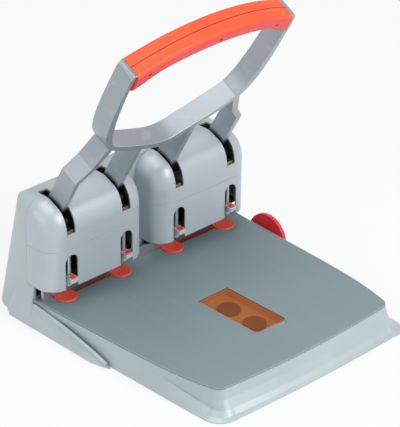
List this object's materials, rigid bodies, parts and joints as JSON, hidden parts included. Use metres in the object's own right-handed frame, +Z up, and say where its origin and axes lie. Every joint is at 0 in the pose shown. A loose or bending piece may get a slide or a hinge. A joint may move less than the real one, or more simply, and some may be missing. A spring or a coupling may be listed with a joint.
{
  "type": "lever hole punch",
  "caption": "Desktop hole punch with a hinged loop lever and orange grip, twin punch heads, turnable cutting discs, a clear-lidded spares well, a side guide and a chip drawer.",
  "frame": {"origin": "centre of the middle rubber foot's underside, on the surface the punch stands on", "axes": "+Z up, +X to the user's right, -Y towards the user at the front edge of the paper table"},
  "size_m": [0.3228, 0.3666, 0.3641],
  "materials": {
    "shell_grey": "satin silver-grey moulded plastic",
    "table_grey": "fine-textured grey paint on pressed sheet steel",
    "lever_metal": "silver paint on cast aluminium",
    "grip_orange": "smooth orange moulded plastic",
    "signal_red": "orange-red moulded plastic",
    "spare_red": "red moulded plastic, slightly scuffed",
    "clear_amber": "clear amber tinted plastic",
    "bright_steel": "turned and brushed bright steel",
    "frame_paint": "black paint on folded steel plate",
    "bush_brass": "turned brass",
    "inner_black": "black moulded plastic with a fine grain",
    "foot_rubber": "matt black rubber"
  },
  "bodies": {
    "base": {"base_shell": "shell_grey", "rear_housing": "shell_grey", "head_cover_upper_left": "shell_grey", "head_cover_upper_right": "shell_grey", "head_cover_lower_left": "shell_grey", "head_cover_lower_right": "shell_grey", "pin_guide_foot_1": "shell_grey", "pin_guide_foot_2": "shell_grey", "pin_guide_foot_3": "shell_grey", "pin_guide_foot_4": "shell_grey", "paper_table": "table_grey", "spare_disc_front": "spare_red", "spare_disc_rear": "spare_red", "disc_strip_left": "clear_amber", "disc_strip_right": "clear_amber", "pivot_shaft_left": "bright_steel", "pivot_shaft_right": "bright_steel", "retaining_rings": "bright_steel", "lid_hinge_pin": "bright_steel", "back_stop": "bright_steel", "base_screws": "bright_steel", "head_frame_left": "frame_paint", "head_frame_right": "frame_paint", "storage_tray": "inner_black", "base_bottom": "inner_black", "guide_channel": "inner_black", "rubber_feet": "foot_rubber"},
    "lever": {"lever_frame": "lever_metal", "pivot_bushes": "bush_brass", "grip_rear": "grip_orange", "grip_front": "grip_orange", "grip_screws": "bright_steel"},
    "lid": {"storage_lid": "clear_amber"},
    "drawer": {"chip_drawer": "inner_black"},
    "guide": {"guide_rail": "inner_black", "guide_disc": "signal_red"},
    "pin_1": {"punch_pin_1": "bright_steel", "pin_yoke_1": "bright_steel", "return_spring_1": "bright_steel"},
    "disc_1": {"cutting_disc_1": "signal_red"},
    "release_1": {"pin_release_1": "signal_red"},
    "pin_2": {"punch_pin_2": "bright_steel", "pin_yoke_2": "bright_steel", "return_spring_2": "bright_steel"},
    "disc_2": {"cutting_disc_2": "signal_red"},
    "release_2": {"pin_release_2": "signal_red"},
    "pin_3": {"punch_pin_3": "bright_steel", "pin_yoke_3": "bright_steel", "return_spring_3": "bright_steel"},
    "disc_3": {"cutting_disc_3": "signal_red"},
    "release_3": {"pin_release_3": "signal_red"},
    "pin_4": {"punch_pin_4": "bright_steel", "pin_yoke_4": "bright_steel", "return_spring_4": "bright_steel"},
    "disc_4": {"cutting_disc_4": "signal_red"},
    "release_4": {"pin_release_4": "signal_red"}
  },
  "joints": [
    {"name": "lever_hinge", "type": "hinge", "parent": "base", "child": "lever", "pos_m": [0, 0.1135, 0.118], "axis": [1, 0, 0], "range_deg": [0, 48], "stiffness_Nm_per_rad": 4, "springref_deg": -45.84},
    {"name": "lid_hinge", "type": "hinge", "parent": "base", "child": "lid", "pos_m": [0.0013, -0.0145, 0.0304], "axis": [-1, 0, 0], "range_deg": [0, 100]},
    {"name": "drawer_slide", "type": "slide", "parent": "base", "child": "drawer", "axis": [0, 1, 0], "range_m": [0, 0.055]},
    {"name": "guide_slide", "type": "slide", "parent": "base", "child": "guide", "axis": [1, 0, 0], "range_m": [0, 0.06]},
    {"name": "pin_slide_1", "type": "slide", "parent": "base", "child": "pin_1", "axis": [0, 0, -1], "range_m": [0, 0.0145], "deforming": ["return_spring_1"]},
    {"name": "disc_turn_1", "type": "hinge", "parent": "base", "child": "disc_1", "pos_m": [-0.12, 0.093, 0.032], "axis": [0, 0, 1], "continuous": true},
    {"name": "release_slide_1", "type": "slide", "parent": "base", "child": "release_1", "axis": [0, 0, -1], "range_m": [0, 0.002], "stiffness_N_per_m": 300, "springref_m": -0.001},
    {"name": "pin_slide_2", "type": "slide", "parent": "base", "child": "pin_2", "axis": [0, 0, -1], "range_m": [0, 0.0145], "deforming": ["return_spring_2"]},
    {"name": "disc_turn_2", "type": "hinge", "parent": "base", "child": "disc_2", "pos_m": [-0.04, 0.093, 0.032], "axis": [0, 0, 1], "continuous": true},
    {"name": "release_slide_2", "type": "slide", "parent": "base", "child": "release_2", "axis": [0, 0, -1], "range_m": [0, 0.002], "stiffness_N_per_m": 300, "springref_m": -0.001},
    {"name": "pin_slide_3", "type": "slide", "parent": "base", "child": "pin_3", "axis": [0, 0, -1], "range_m": [0, 0.0145], "deforming": ["return_spring_3"]},
    {"name": "disc_turn_3", "type": "hinge", "parent": "base", "child": "disc_3", "pos_m": [0.04, 0.093, 0.032], "axis": [0, 0, 1], "continuous": true},
    {"name": "release_slide_3", "type": "slide", "parent": "base", "child": "release_3", "axis": [0, 0, -1], "range_m": [0, 0.002], "stiffness_N_per_m": 300, "springref_m": -0.001},
    {"name": "pin_slide_4", "type": "slide", "parent": "base", "child": "pin_4", "axis": [0, 0, -1], "range_m": [0, 0.0145], "deforming": ["return_spring_4"]},
    {"name": "disc_turn_4", "type": "hinge", "parent": "base", "child": "disc_4", "pos_m": [0.12, 0.093, 0.032], "axis": [0, 0, 1], "continuous": true},
    {"name": "release_slide_4", "type": "slide", "parent": "base", "child": "release_4", "axis": [0, 0, -1], "range_m": [0, 0.002], "stiffness_N_per_m": 300, "springref_m": -0.001}
  ],
  "couplings": [
    {"joint": "pin_slide_1", "follows": "lever_hinge", "m_per_rad": 0.0173},
    {"joint": "pin_slide_2", "follows": "lever_hinge", "m_per_rad": 0.0173},
    {"joint": "pin_slide_3", "follows": "lever_hinge", "m_per_rad": 0.0173},
    {"joint": "pin_slide_4", "follows": "lever_hinge", "m_per_rad": 0.0173}
  ]
}
